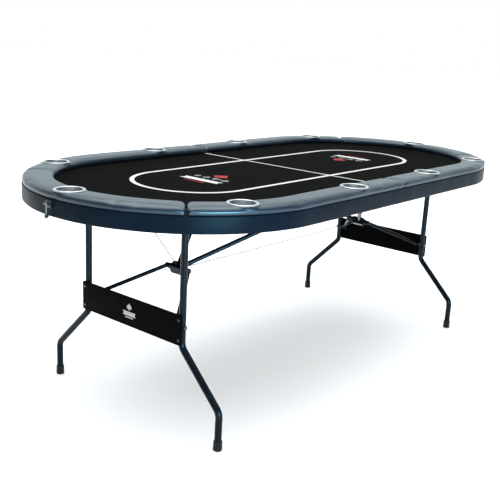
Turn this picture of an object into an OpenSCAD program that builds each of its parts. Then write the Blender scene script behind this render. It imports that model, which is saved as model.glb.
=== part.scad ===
// Folding ten-seat card table: a stadium-shaped top in two halves, hinged at the centre,
// with a padded rail, drop-in cup holders, and a folding tube leg frame under each half.
// Millimetres. Origin on the floor under the centre of the top, +X along the length, +Z up.
// The near half lies at -X and is drawn once; the far half is its mirror image.

/* [Table top] */
// Overall length of the padded top
table_l = 2110; // [1800:10:2600]
// Overall width of the padded top
table_w = 1024; // [960:2:1260]
// Height of the cup flanges, the highest point, above the floor
table_h = 762; // [720:1:930]
// Width of the gap where the two halves meet
fold_gap = 0.6; // [0.4:0.1:2]

/* [Rail and skirt] */
// Width of the padded rail, from the outline inwards
rail_w = 100; // [96:1:130]
// Thickness of a rail pad at its crown
pad_t = 24.7; // [18:0.1:34]
// Width of the bevel along both upper edges of a pad
pad_bevel = 8; // [3:0.5:14]
// Gap between neighbouring pads
pad_gap = 2; // [1:0.5:6]
// Height of the outer skirt
skirt_h = 50; // [46:1:70]
// Thickness of the outer skirt
skirt_t = 10; // [6:0.5:16]
// Thickness of the board under the pads
rail_base_t = 17; // [12:0.5:22]
// How far a pad overhangs the inner edge of the board under it
pad_lip = 6; // [2:0.5:10]

/* [Playing surface] */
// Thickness of the deck board
deck_t = 10; // [8:0.5:11]
// Thickness of the felt on the deck
felt_t = 3; // [1.5:0.5:4]
// How far the felt lies below the top of the board under the pads
felt_drop = 2; // [0:0.5:4]

/* [Cup holders] */
// Diameter of the cup flange
cup_flange_d = 92; // [84:1:94]
// Outer diameter of the cup well
cup_well_d = 76; // [66:1:80]
// Depth of a cup over its flange
cup_depth = 62; // [50:1:66]
// Thickness of the cup wall and flange
cup_wall = 1.5; // [1:0.1:2.5]
// Distance of the cup centres from the outline
cup_inset = 51; // [48:1:60]
// Distance of the inner side cups from the fold
side_cup_x = 246; // [150:1:330]
// Direction of the corner cups, in degrees from the table's long axis
corner_cup_angle = 64.6; // [55:0.1:80]

/* [Leg frame] */
// Distance of a leg frame from the fold
leg_x = 760; // [740:1:800]
// Half the spacing of the upper leg tubes
leg_y = 220; // [190:1:235]
// Half the spacing of the feet
foot_y = 382; // [330:1:384]
// Outer diameter of the leg tube
tube_d = 22; // [19:0.5:25]
// Wall of the leg tube
tube_wall = 1.5; // [1:0.1:2.5]
// Height of the bend where a leg starts to splay
upper_bend_z = 283; // [240:1:288]
// Height of the bend where a leg turns vertical again
lower_bend_z = 120; // [80:1:150]
// Centreline radius of every tube bend
bend_r = 40; // [30:1:50]
// Extra diameter of the tube where it is bent
bend_swell = 0.1; // [0.06:0.01:0.2]
// Depth of the leg pivot below the deck
pivot_drop = 17; // [16:0.5:20]
// Diameter of a rubber foot cap
cap_d = 28; // [26:0.5:32]
// Height of a rubber foot cap
cap_h = 32; // [20:1:50]
// Thickness of rubber under the tube
cap_floor = 6; // [3:0.5:12]

/* [Leg panel] */
// Height of the leg panel
panel_h = 98; // [70:1:120]
// Height of the panel's middle above the floor
panel_z = 340; // [330:1:360]
// Thickness of the leg panel
panel_t = 5.5; // [4:0.5:7]
// How far the panel reaches past the tube axes
panel_side = 12; // [11:1:14]
// Diameter of a panel screw
screw_d = 5; // [3:0.5:6]
// Half the height between the two screws at each end of the panel
screw_dz = 32; // [20:1:40]

/* [Brace] */
// Height on the leg at which the lower brace arms are bolted
brace_z = 347; // [330:1:360]
// Distance of the upper arms' anchors from the fold
anchor_x = 40; // [36:1:50]
// Half the spacing of the anchors
anchor_y = 320; // [280:1:325]
// Diameter of the upper brace arms
upper_arm_d = 16; // [12:0.5:16]
// Diameter of the lower brace arms
lower_arm_d = 14; // [10:0.5:14]
// Diameter of the hub sleeve
hub_d = 20; // [18:0.5:22]
// Half the length of the hub sleeve
hub_half = 41.4; // [40:0.1:46]
// Length and height of the block round the hub sleeve
hub_block = 30; // [22:1:30]
// Width of the block round the hub sleeve
hub_block_w = 50; // [40:1:72]
// Width of the eye at each end of a lower arm
eye_w = 12; // [10:0.5:14]
// Diameter of the brace bolts and anchor pins
bolt_d = 8; // [6:0.5:9]
// Diameter of the shock cords between hubs and legs
cord_d = 3; // [2:0.5:5]

/* [Centre hinge] */
// Diameter of the hinge barrel
barrel_d = 8; // [6:0.5:10]
// Diameter of the hinge pin
hinge_pin_d = 4; // [3:0.5:5]
// Length of one hinge
hinge_l = 60; // [40:5:90]
// Distance of the outer hinges from the middle one
hinge_y = 400; // [370:5:410]
// Thickness of a hinge leaf
leaf_t = 2; // [1.5:0.5:3]
// Width of the wooden batten that carries the hinges
batten_w = 24; // [18:1:28]

/* [Latch] */
// Distance of the latch from the table's long axis
latch_y = 26; // [0:1:60]
// Diameter of the latch knob
knob_d = 13; // [10:0.5:16]
// Length of the latch bar from its pivot to the middle of the knob
latch_l = 36; // [30:1:45]

/* [Fits] */
// Radial clearance of a turning fit
run_gap = 0.08; // [0.05:0.01:0.1]
// Clearance between pieces that only sit next to each other
seat_gap = 0.3; // [0.2:0.05:0.6]
// Clearance at the opened hub pivot, between sleeve and lower arm
open_gap = 0.6; // [0.4:0.1:1]

/* [Hidden] */

// Resolution of round surfaces
round_fn = 64;

// Outline
half_l = table_l / 2;
half_w = table_w / 2;
arc_x = half_l - half_w;
edge = fold_gap / 2;
seam_angle = 45;

// Heights
flange_z = table_h - cup_wall;
pad_z = flange_z - pad_t - 0.5;
base_top_z = pad_z - seat_gap;
skirt_z = base_top_z - skirt_h;
base_z = base_top_z - rail_base_t;
felt_z = base_top_z - felt_drop;
deck_top_z = felt_z - felt_t;
deck_z = deck_top_z - deck_t;
pivot_z = deck_z - pivot_drop;
fold_z = skirt_z;
batten_z = fold_z + barrel_d / 2 + seat_gap;

// Insets from the outline
base_inset = skirt_t + seat_gap;
base_inner = rail_w - pad_lip;
deck_inset = base_inner + seat_gap;
cup_hole_d = cup_well_d + 2 * seat_gap;

// Leg pivot brackets
bracket_y = leg_y - bend_r - 30;
bracket_w = 24;
bracket_wall = 3;
flange_t = 4;
flange_w = 76;

// Brace: straight when the leg stands, folded flat on itself when the leg is folded
leg_r = pivot_z - brace_z;
span_x = leg_x - anchor_x;
span = norm([span_x, leg_r]);
lower_l = (span - (span_x - leg_r)) / 2;
hub_x = -leg_x + span_x * lower_l / span;
hub_z = brace_z + leg_r * lower_l / span;
leg_eye_y = leg_y - tube_d / 2 - 15;
brace_angle = atan2(leg_r, span_x);
bolt_head_y = leg_y + tube_d / 2 + bend_swell;
bolt_head_d = 1.7 * bolt_d;
eye_d = hub_d - 2;
hub_eye_y = hub_half + open_gap + eye_w / 2;
upper_start_y = 2;
ear_t = 3;
anchor_eye_w = 32;
anchor_base = [44, anchor_eye_w + 2 * ear_t + 2, 3];
anchor_foot_z = deck_z - anchor_base.z;

// Screws under the deck
bracket_screw_dx = flange_w / 2 - 8;
anchor_screw_dx = 16;
screw_head_h = 2.5;

// Cup positions on the near half
cup_r = half_w - cup_inset;
end_cup = [-arc_x - cup_r, 0];
corner_cup = [-arc_x - cup_r * cos(corner_cup_angle), cup_r * sin(corner_cup_angle)];
side_cup = [-side_cup_x, cup_r];

// Latch
latch_pin_x = -half_l - 9;
latch_z = base_top_z - 13;
latch_pin_d = 3;
latch_reach = -latch_pin_x + knob_d / 2;

// Colours
vinyl = [0.16, 0.19, 0.24];
felt_black = [0.09, 0.08, 0.07];
board = [0.11, 0.10, 0.09];
steel = [0.80, 0.81, 0.82];
enamel = [0.05, 0.06, 0.08];
plastic = [0.07, 0.07, 0.08];
rubber_black = [0.04, 0.04, 0.04];

// ---- Helpers ----

// Turns the near half's piece into the far half's
module far() mirror([1, 0, 0]) children();

// Draws a child at the back (+Y) and its mirror image at the front
module both_sides() {
    children();
    mirror([0, 1, 0]) children();
}

// Half of the stadium outline, set in from the edge of the table. A cutter runs a little past the fold.
module half_outline(inset, past_fold) {
    r = half_w - inset;
    intersection() {
        translate([-arc_x, 0]) circle(r = r, $fn = 180);
        translate([-half_l, -half_w]) square([half_l - arc_x, table_w]);
    }
    translate([-arc_x, -r]) square([arc_x - edge + past_fold, 2 * r]);
}

module half_slab(inset, z_low, z_high, past_fold = 0)
    translate([0, 0, z_low]) linear_extrude(z_high - z_low) half_outline(inset, past_fold);

// Cross-section of a pad, with the distance from the arc's centre as X
module pad_section() {
    r_in = half_w - rail_w;
    polygon([
        [half_w, pad_z], [half_w, pad_z + pad_t - pad_bevel], [half_w - pad_bevel, pad_z + pad_t],
        [r_in + pad_bevel, pad_z + pad_t], [r_in, pad_z + pad_t - pad_bevel], [r_in, pad_z]
    ]);
}

module pad_arc(from, to)
    translate([-arc_x, 0, 0]) rotate([0, 0, from])
        rotate_extrude(angle = to - from, $fn = 180) pad_section();

module cup_hole(place)
    translate([place.x, place.y, base_z - 1]) cylinder(d = cup_hole_d, h = table_h, $fn = round_fn);

module cup(place) {
    r = cup_well_d / 2;
    floor_z = table_h - cup_depth;
    translate([place.x, place.y, 0]) rotate_extrude($fn = round_fn) polygon([
        [0, floor_z], [r, floor_z], [r, flange_z], [cup_flange_d / 2, flange_z],
        [cup_flange_d / 2, table_h], [r - cup_wall, table_h],
        [r - cup_wall, floor_z + cup_wall], [0, floor_z + cup_wall]
    ]);
}

// A round bar from p to q
module bar(p, q, d) {
    v = q - p;
    translate(p) rotate([0, acos(v.z / norm(v)), atan2(v.y, v.x)])
        cylinder(d = d, h = norm(v), $fn = round_fn);
}

// A cylinder along Y between two values of Y
module y_cyl(x, y0, y1, z, d, fn = round_fn)
    translate([x, y0, z]) rotate([-90, 0, 0]) cylinder(d = d, h = y1 - y0, $fn = fn);

// Bent tube in a plane: straight runs joined by arcs of one radius
function unit(v) = v / norm(v);
function turn(a, b, c) =
    let (u = unit(b - a), v = unit(c - b)) atan2(u.x * v.y - u.y * v.x, u * v);
function trim(a, b, c) = bend_r * tan(abs(turn(a, b, c)) / 2);

module tube_section()
    difference() {
        circle(d = tube_d, $fn = round_fn);
        circle(d = tube_d - 2 * tube_wall, $fn = round_fn);
    }

// A solid round rod of diameter d along the path. Each bend is a little fatter than the straight
// runs and laps over their ends, as a mandrel bend is.
module bent_rod(path, d) {
    last = len(path) - 1;
    lap = 1.5;
    for (i = [0 : last - 1]) {
        a = path[i];
        b = path[i + 1];
        u = unit(b - a);
        start = i == 0 ? 0 : trim(path[i - 1], a, b);
        end = i == last - 1 ? 0 : trim(a, b, path[i + 2]);
        p = a + u * start;
        translate([p.x, p.y, 0]) rotate([0, 0, atan2(u.y, u.x)]) rotate([0, 90, 0])
            cylinder(d = d, h = norm(b - a) - start - end, $fn = round_fn);
    }
    for (i = [1 : last - 1]) {
        u = unit(path[i] - path[i - 1]);
        k = turn(path[i - 1], path[i], path[i + 1]);
        inward = k > 0 ? [-u.y, u.x] : [u.y, -u.x];
        p = path[i] - u * trim(path[i - 1], path[i], path[i + 1]) + inward * bend_r;
        translate([p.x, p.y, 0]) rotate([0, 0, atan2(-inward.y, -inward.x) + min(k, 0) - lap])
            rotate_extrude(angle = abs(k) + 2 * lap, $fn = 96)
                translate([bend_r, 0]) circle(d = d + bend_swell, $fn = round_fn);
    }
}

module bent_tube(path) difference() {
    bent_rod(path, tube_d);
    bent_rod(path, tube_d - 2 * tube_wall);
}

// ---- Top ----

module deck() color(board) half_slab(deck_inset, deck_z, deck_top_z);

module felt() color(felt_black) half_slab(deck_inset, deck_top_z, felt_z);

module rail_base() color(board) difference() {
    half_slab(base_inset, base_z, base_top_z);
    half_slab(base_inner, base_z - 1, base_top_z + 1, past_fold = 1);
    cup_hole(end_cup);
    both_sides() {
        cup_hole(corner_cup);
        cup_hole(side_cup);
        // Relief over the leg bracket, where a short top brings the board above it
        translate([-leg_x - flange_w / 2 - seat_gap, bracket_y - bracket_w / 2 - seat_gap, base_z - 1])
            cube([flange_w + 2 * seat_gap, bracket_w + 2 * seat_gap, deck_z - base_z + 1 + seat_gap]);
    }
}

module skirt() color(vinyl) difference() {
    half_slab(0, skirt_z, base_top_z);
    half_slab(skirt_t, skirt_z - 1, base_top_z + 1, past_fold = 1);
}

module end_pad() color(vinyl) difference() {
    half_gap = asin(pad_gap / 2 / (half_w - rail_w));
    pad_arc(180 - seam_angle + half_gap, 180 + seam_angle - half_gap);
    cup_hole(end_cup);
}

module back_pad() color(vinyl) difference() {
    half_gap = asin(pad_gap / 2 / (half_w - rail_w));
    union() {
        pad_arc(90, 180 - seam_angle - half_gap);
        translate([-arc_x, 0, 0]) rotate([90, 0, 90])
            linear_extrude(arc_x - pad_gap / 2) pad_section();
    }
    cup_hole(corner_cup);
    cup_hole(side_cup);
}

module front_pad() mirror([0, 1, 0]) back_pad();

module end_cup_holder() color(steel) cup(end_cup);

module side_cup_holders() color(steel) both_sides() {
    cup(corner_cup);
    cup(side_cup);
}

// Batten along the fold, notched for the feet and screw heads of the brace anchors
module fold_batten() color(board) difference() {
    translate([-batten_w - 2 * edge, -half_w + skirt_t + 2, batten_z])
        cube([batten_w, table_w - 2 * skirt_t - 4, base_z - seat_gap - batten_z]);
    notch_w = anchor_base.y + 2 * seat_gap;
    notch_z = anchor_foot_z - screw_head_h - seat_gap;
    both_sides() translate([-anchor_x - anchor_base.x, anchor_y - notch_w / 2, notch_z])
        cube([1.5 * anchor_base.x + seat_gap, notch_w, table_h]);
}

// ---- Brackets under the deck ----

module leg_brackets() color(enamel) both_sides() difference() {
    body_d = tube_d + 2 * bracket_wall;
    union() {
        translate([-leg_x - body_d / 2, bracket_y - bracket_w / 2, pivot_z - body_d / 2 + 1])
            cube([body_d, bracket_w, deck_z - pivot_z + body_d / 2 - 1]);
        translate([-leg_x - flange_w / 2, bracket_y - bracket_w / 2, deck_z - flange_t])
            cube([flange_w, bracket_w, flange_t]);
    }
    y_cyl(-leg_x, bracket_y - bracket_w, bracket_y + bracket_w, pivot_z, tube_d + 2 * run_gap);
    for (side = [-1, 1])
        translate([-leg_x + side * bracket_screw_dx, bracket_y, deck_z - flange_t - 1])
            cylinder(d = screw_d, h = flange_t + 2, $fn = round_fn);
}

// A clevis with its riveted pin, for the eye of an upper brace arm
module brace_anchors() color(enamel) both_sides() {
    ear_y = anchor_eye_w / 2 + seat_gap;
    difference() {
        translate([-anchor_x - anchor_base.x / 2, anchor_y - ear_y - ear_t, anchor_foot_z])
            cube([anchor_base.x, 2 * (ear_y + ear_t), anchor_base.z]);
        for (side = [-1, 1])
            translate([-anchor_x + side * anchor_screw_dx, anchor_y, anchor_foot_z - 1])
                cylinder(d = screw_d, h = anchor_base.z + 2, $fn = round_fn);
    }
    for (y = [anchor_y - ear_y - ear_t, anchor_y + ear_y]) {
        y_cyl(-anchor_x, y, y + ear_t, pivot_z, hub_d);
        translate([-anchor_x - hub_d / 2, y, pivot_z])
            cube([hub_d, ear_t, anchor_foot_z - pivot_z]);
    }
    y_cyl(-anchor_x, anchor_y - ear_y - ear_t - 2, anchor_y + ear_y + ear_t + 2, pivot_z, bolt_d);
}

module screw_up(x, y, z) {
    translate([x, y, z - screw_head_h]) cylinder(d = 1.8 * screw_d, h = screw_head_h, $fn = round_fn);
    translate([x, y, z]) cylinder(d = screw_d, h = deck_z - z, $fn = round_fn);
}

module bracket_screws() color(steel) both_sides() for (side = [-1, 1]) {
    screw_up(-leg_x + side * bracket_screw_dx, bracket_y, deck_z - flange_t);
    screw_up(-anchor_x + side * anchor_screw_dx, anchor_y, anchor_foot_z);
}

// ---- Centre hinge ----

knuckle_l = hinge_l / 5;

// Knuckles of one leaf, numbered from the front
module leaf(centre_y, knuckles) difference() {
    leaf_z = fold_z + barrel_d / 2 - leaf_t;
    inner_x = barrel_d / 2 + 2 * seat_gap;
    union() {
        translate([-batten_w, centre_y - hinge_l / 2, leaf_z])
            cube([batten_w - inner_x, hinge_l, leaf_t]);
        for (k = knuckles) {
            y = centre_y - hinge_l / 2 + k * knuckle_l + seat_gap / 2;
            y_cyl(0, y, y + knuckle_l - seat_gap, fold_z, barrel_d);
            translate([-inner_x - 1, y, leaf_z]) cube([inner_x + 1, knuckle_l - seat_gap, leaf_t]);
        }
    }
    y_cyl(0, centre_y - hinge_l, centre_y + hinge_l, fold_z, hinge_pin_d + 2 * run_gap);
}

module hinge_leaves(knuckles) color(steel)
    for (y = [-hinge_y, 0, hinge_y]) leaf(y, knuckles);

module hinge_pins() color(steel)
    for (y = [-hinge_y, 0, hinge_y])
        y_cyl(0, y - hinge_l / 2, y + hinge_l / 2, fold_z, hinge_pin_d);

// ---- Leg frame ----

module back_leg_tube() color(enamel) difference() {
    translate([-leg_x, 0, 0]) rotate([90, 0, 90]) bent_tube([
        [foot_y, cap_floor], [foot_y, lower_bend_z], [leg_y, upper_bend_z],
        [leg_y, pivot_z], [bracket_y, pivot_z]
    ]);
    for (side = [-1, 1])
        translate([-leg_x - tube_d, leg_y, panel_z + side * screw_dz])
            rotate([0, 90, 0]) cylinder(d = screw_d, h = tube_d, $fn = round_fn);
    y_cyl(-leg_x, leg_y - tube_d, leg_y + tube_d, brace_z, bolt_d);
    // Flat for the bolt head, where the head meets a bend
    y_cyl(-leg_x, bolt_head_y, bolt_head_y + tube_d, brace_z, bolt_head_d);
}

module front_leg_tube() mirror([0, 1, 0]) back_leg_tube();

module cross_tube() color(enamel) translate([-leg_x, -bracket_y, pivot_z])
    rotate([-90, 0, 0]) linear_extrude(2 * bracket_y) tube_section();

panel_x = -leg_x - tube_d / 2 - panel_t;

module panel() color(plastic) difference() {
    translate([panel_x, -leg_y - panel_side, panel_z - panel_h / 2])
        cube([panel_t, 2 * (leg_y + panel_side), panel_h]);
    both_sides() for (side = [-1, 1])
        translate([panel_x - 1, leg_y, panel_z + side * screw_dz])
            rotate([0, 90, 0]) cylinder(d = screw_d, h = panel_t + 2, $fn = round_fn);
}

module panel_screws() color(steel) both_sides() for (side = [-1, 1])
    translate([panel_x, leg_y, panel_z + side * screw_dz]) rotate([0, 90, 0]) {
        translate([0, 0, -1.2]) cylinder(d = 2 * screw_d, h = 1.2, $fn = round_fn);
        cylinder(d = screw_d, h = panel_t + tube_wall + 3, $fn = round_fn);
    }

module foot_caps() color(rubber_black) both_sides() translate([-leg_x, foot_y, 0])
    difference() {
        cylinder(d = cap_d, h = cap_h, $fn = round_fn);
        translate([0, 0, cap_floor]) cylinder(d = tube_d, h = cap_h, $fn = round_fn);
    }

// Bolt through the leg tube: head outside, nut inside the lower arm's eye
module brace_bolts() color(steel) both_sides() {
    inner_y = leg_eye_y - eye_w / 2 - seat_gap;
    y_cyl(-leg_x, inner_y, bolt_head_y, brace_z, bolt_d);
    y_cyl(-leg_x, bolt_head_y, bolt_head_y + 4, brace_z, bolt_head_d, 6);
    y_cyl(-leg_x, inner_y - 5, inner_y, brace_z, bolt_head_d, 6);
}

// ---- Brace ----

hub = [hub_x, 0, hub_z];

// Welded V: two arms, their anchor eyes, the hub sleeve and the block that ties them together
module upper_brace() color(enamel) difference() {
    union() {
        y_cyl(hub_x, -hub_half, hub_half, hub_z, hub_d);
        translate(hub) rotate([0, -brace_angle, 0])
            cube([hub_block, hub_block_w, hub_block], center = true);
        both_sides() {
            bar([hub_x, upper_start_y, hub_z], [-anchor_x, anchor_y, pivot_z], upper_arm_d);
            y_cyl(-anchor_x, anchor_y - anchor_eye_w / 2, anchor_y + anchor_eye_w / 2,
                pivot_z, eye_d);
        }
    }
    // Trims the arms flush with the anchor eyes' outer faces, then bores the eyes
    both_sides() {
        y_cyl(-anchor_x, anchor_y + anchor_eye_w / 2, anchor_y + 2 * anchor_eye_w, pivot_z,
            2 * eye_d);
        y_cyl(-anchor_x, anchor_y - anchor_eye_w, anchor_y + anchor_eye_w, pivot_z,
            bolt_d + 2 * run_gap);
    }
    y_cyl(hub_x, -hub_half - 1, hub_half + 1, hub_z, bolt_d);
}

module lower_arms() color(enamel) both_sides() difference() {
    union() {
        bar([-leg_x, leg_eye_y, brace_z], [hub_x, hub_eye_y + 1.5, hub_z], lower_arm_d);
        y_cyl(-leg_x, leg_eye_y - eye_w / 2, leg_eye_y + eye_w / 2, brace_z, eye_d);
        y_cyl(hub_x, hub_eye_y - eye_w / 2, hub_eye_y + eye_w / 2, hub_z, eye_d);
    }
    // Flat outer and inner faces on the eyes, and their bores
    y_cyl(-leg_x, leg_eye_y + eye_w / 2, leg_eye_y + 2 * eye_w, brace_z, 1.5 * eye_d);
    y_cyl(-leg_x, leg_eye_y - 2 * eye_w, leg_eye_y - eye_w / 2, brace_z, 2 * bolt_d + 2);
    y_cyl(-leg_x, leg_eye_y - eye_w, leg_eye_y + eye_w, brace_z, bolt_d + 2 * run_gap);
    y_cyl(hub_x, hub_eye_y + eye_w / 2, hub_eye_y + 2 * eye_w, hub_z, bolt_head_d + 2);
    y_cyl(hub_x, hub_eye_y - 2 * eye_w, hub_eye_y + eye_w, hub_z, bolt_d);
    y_cyl(hub_x, 0, hub_eye_y - eye_w / 2, hub_z, 2 * eye_d);
}

// Bolt ends in the lower arms' hub eyes; the sleeve holds the rest of the pivot
module hub_bolts() color(steel) both_sides() {
    outer_y = hub_eye_y + eye_w / 2;
    y_cyl(hub_x, hub_eye_y - eye_w / 2, outer_y, hub_z, bolt_d);
    y_cyl(hub_x, outer_y, outer_y + 4, hub_z, bolt_head_d, 6);
}

// ---- Shock cords ----

// The hub cord starts in front of the hub block; the release cord starts behind it
hub_cord_start = hub_block / sqrt(2) + 7;
hub_cord_z = hub_z - 4;
release_tie = [4 - leg_x, 0, pivot_z - tube_d / 2 - cord_d];
release_start = hub + unit(release_tie - hub) * (hub_block / sqrt(2) + 1);

module hub_cord() color(plastic)
    bar([hub_x + hub_cord_start, 0, hub_cord_z], [-edge, 0, hub_cord_z], cord_d);

module release_cord() color(plastic) bar(release_start, release_tie, cord_d);

// ---- Latch ----

latch_ear_w = 4;
latch_ear_h = 8;
latch_eye_w = 8;
latch_rod_d = 4;
latch_plate_out = 4;
latch_plate_size = [10, 24, 20];

module latch_plate() difference() {
    translate([-half_l - latch_plate_out, latch_y - latch_plate_size.y / 2, latch_z - 12])
        cube(latch_plate_size);
    translate([-arc_x, 0, 0]) cylinder(r = half_w, h = table_h, $fn = 1440);
}

module latch_base() color(steel) {
    ear_y = latch_eye_w / 2 + seat_gap;
    latch_plate();
    for (y = [latch_y - ear_y - latch_ear_w, latch_y + ear_y])
        translate([latch_pin_x - latch_ear_h / 2, y, latch_z - latch_ear_h / 2])
            cube([latch_ear_h / 2 - latch_pin_x - half_l - latch_plate_out, latch_ear_w, latch_ear_h]);
    y_cyl(latch_pin_x, latch_y - ear_y - latch_ear_w, latch_y + ear_y + latch_ear_w, latch_z, latch_pin_d);
}

module latch_bar() color(steel) difference() {
    union() {
        y_cyl(latch_pin_x, latch_y - latch_eye_w / 2, latch_y + latch_eye_w / 2, latch_z, 2 * latch_rod_d);
        translate([latch_pin_x, latch_y, latch_z - latch_l])
            cylinder(d = latch_rod_d, h = latch_l, $fn = round_fn);
    }
    y_cyl(latch_pin_x, latch_y - latch_eye_w, latch_y + latch_eye_w, latch_z, latch_pin_d + 2 * run_gap);
}

module latch_knob() color(plastic) difference() {
    translate([latch_pin_x, latch_y, latch_z - latch_l]) sphere(d = knob_d, $fn = round_fn);
    translate([latch_pin_x, latch_y, latch_z - latch_l])
        cylinder(d = latch_rod_d, h = knob_d, $fn = round_fn);
}

// Headed stud that the latch bar drops behind, on the far half's end
module latch_catch() color(steel) {
    stud_d = 6;
    head_d = 12;
    head_t = 3;
    stud_l = latch_reach - half_l - latch_plate_out;
    far() latch_plate();
    translate([half_l + latch_plate_out, latch_y, latch_z - 2]) rotate([0, 90, 0]) {
        cylinder(d = stud_d, h = stud_l, $fn = round_fn);
        translate([0, 0, stud_l - head_t]) cylinder(d = head_d, h = head_t, $fn = round_fn);
    }
}

deck();  // near_deck
felt();  // near_felt
rail_base();  // near_rail_base
skirt();  // near_skirt
end_pad();  // near_end_pad
front_pad();  // near_front_pad
back_pad();  // near_back_pad
end_cup_holder();  // near_end_cup
side_cup_holders();  // near_side_cups
fold_batten();  // near_fold_batten
leg_brackets();  // near_leg_brackets
brace_anchors();  // near_brace_anchors
bracket_screws();  // near_bracket_screws
hinge_leaves([0, 2, 4]);  // near_hinge_leaves
hub_cord();  // near_hub_cord
release_cord();  // near_release_cord
far() deck();  // far_deck
far() felt();  // far_felt
far() rail_base();  // far_rail_base
far() skirt();  // far_skirt
far() end_pad();  // far_end_pad
far() front_pad();  // far_front_pad
far() back_pad();  // far_back_pad
far() end_cup_holder();  // far_end_cup
far() side_cup_holders();  // far_side_cups
far() fold_batten();  // far_fold_batten
far() leg_brackets();  // far_leg_brackets
far() brace_anchors();  // far_brace_anchors
far() bracket_screws();  // far_bracket_screws
far() hinge_leaves([1, 3]);  // far_hinge_leaves
far() hub_cord();  // far_hub_cord
far() release_cord();  // far_release_cord
front_leg_tube();  // near_front_leg_tube
back_leg_tube();  // near_back_leg_tube
cross_tube();  // near_cross_tube
panel();  // near_panel
panel_screws();  // near_panel_screws
foot_caps();  // near_foot_caps
brace_bolts();  // near_brace_bolts
far() front_leg_tube();  // far_front_leg_tube
far() back_leg_tube();  // far_back_leg_tube
far() cross_tube();  // far_cross_tube
far() panel();  // far_panel
far() panel_screws();  // far_panel_screws
far() foot_caps();  // far_foot_caps
far() brace_bolts();  // far_brace_bolts
upper_brace();  // near_upper_brace
lower_arms();  // near_lower_arms
hub_bolts();  // near_hub_bolts
far() upper_brace();  // far_upper_brace
far() lower_arms();  // far_lower_arms
far() hub_bolts();  // far_hub_bolts
hinge_pins();
latch_base();
latch_bar();
latch_knob();
latch_catch();
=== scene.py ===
"""Finishes the folding card table: padded rail, felt and print, skirt, cup holders, legs, cords and studio.

Metres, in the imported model's own frame: origin on the floor under the centre of the top, +X along
the length towards the far half, +Z up. Each piece is drawn for the near half and mirrored for the
far one. Sizes and colours are properties of the panel's groups; the rest follows from the frame.
"""

import math

import bmesh
import bpy
import numpy as np
from bpy.props import FloatProperty, FloatVectorProperty, PointerProperty
from mathutils import Matrix, Vector


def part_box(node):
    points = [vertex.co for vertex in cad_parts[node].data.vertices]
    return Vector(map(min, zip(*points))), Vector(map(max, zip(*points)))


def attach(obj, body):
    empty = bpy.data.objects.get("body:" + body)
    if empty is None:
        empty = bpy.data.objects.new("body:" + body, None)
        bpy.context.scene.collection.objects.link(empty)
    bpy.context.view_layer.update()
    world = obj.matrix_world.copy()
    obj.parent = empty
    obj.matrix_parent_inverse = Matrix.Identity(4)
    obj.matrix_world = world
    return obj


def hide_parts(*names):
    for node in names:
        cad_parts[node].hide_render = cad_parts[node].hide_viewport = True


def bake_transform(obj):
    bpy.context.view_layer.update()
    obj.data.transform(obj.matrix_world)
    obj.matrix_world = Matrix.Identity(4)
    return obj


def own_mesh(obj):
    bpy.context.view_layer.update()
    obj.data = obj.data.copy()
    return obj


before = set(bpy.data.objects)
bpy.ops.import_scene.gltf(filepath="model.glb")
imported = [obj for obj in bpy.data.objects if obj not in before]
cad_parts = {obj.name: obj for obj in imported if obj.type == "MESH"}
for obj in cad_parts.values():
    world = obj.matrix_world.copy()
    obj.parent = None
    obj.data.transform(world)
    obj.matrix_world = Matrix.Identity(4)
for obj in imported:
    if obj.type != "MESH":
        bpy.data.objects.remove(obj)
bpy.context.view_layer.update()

bl_info = {
    "name": "Folding Card Table",
    "version": (1, 0, 0),
    "blender": (4, 5, 0),
    "location": "View3D > Sidebar > Card Table",
    "description": "Builds the rail, felt, skirt, cup holders, legs and studio of a folding card table",
    "category": "Object",
}

# ---- Places read from the frame ----

SKIRT_LOW, SKIRT_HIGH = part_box("near_skirt")
END_CUP_LOW, END_CUP_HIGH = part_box("near_end_cup")
PAD_LOW, PAD_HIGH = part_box("near_end_pad")
FELT_LOW, FELT_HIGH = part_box("near_felt")
PANEL_LOW, PANEL_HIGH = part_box("near_panel")
CAPS_LOW, CAPS_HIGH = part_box("near_foot_caps")
SCREW_LOW, SCREW_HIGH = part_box("near_panel_screws")
KNOB_LOW, KNOB_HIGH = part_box("latch_knob")

HALF_L = -SKIRT_LOW.x
HALF_W = SKIRT_HIGH.y
ARC_X = HALF_L - HALF_W
EDGE = -SKIRT_HIGH.x
SKIRT_BOTTOM = SKIRT_LOW.z
SKIRT_TOP = SKIRT_HIGH.z
PAD_BOTTOM = PAD_LOW.z
PAD_TOP = PAD_HIGH.z
FELT_TOP = FELT_HIGH.z
TABLE_TOP = END_CUP_HIGH.z
FLANGE_R = (END_CUP_HIGH.y - END_CUP_LOW.y) / 2
CUP_INSET = HALF_L + (END_CUP_HIGH.x + END_CUP_LOW.x) / 2
SEAM = math.radians(45)
SHARP = math.radians(38)
FELT_SKIN = 0.001
FOLD_LIP = 0.0018
PRINT_H = 0.00025
SCREW_HEAD_R = 0.005
NEAR, FAR = "near", "far"


# ---- Settings ----


def number_value(name, description, default):
    return FloatProperty(name=name, description=description, default=default)


def length_value(name, description, default):
    return FloatProperty(name=name, description=description, default=default, unit="LENGTH")


def angle_value(name, description, degrees):
    return FloatProperty(name=name, description=description, default=math.radians(degrees), subtype="ANGLE")


def colour_value(name, description, default):
    return FloatVectorProperty(name=name, description=description, default=default, subtype="COLOR")


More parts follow.
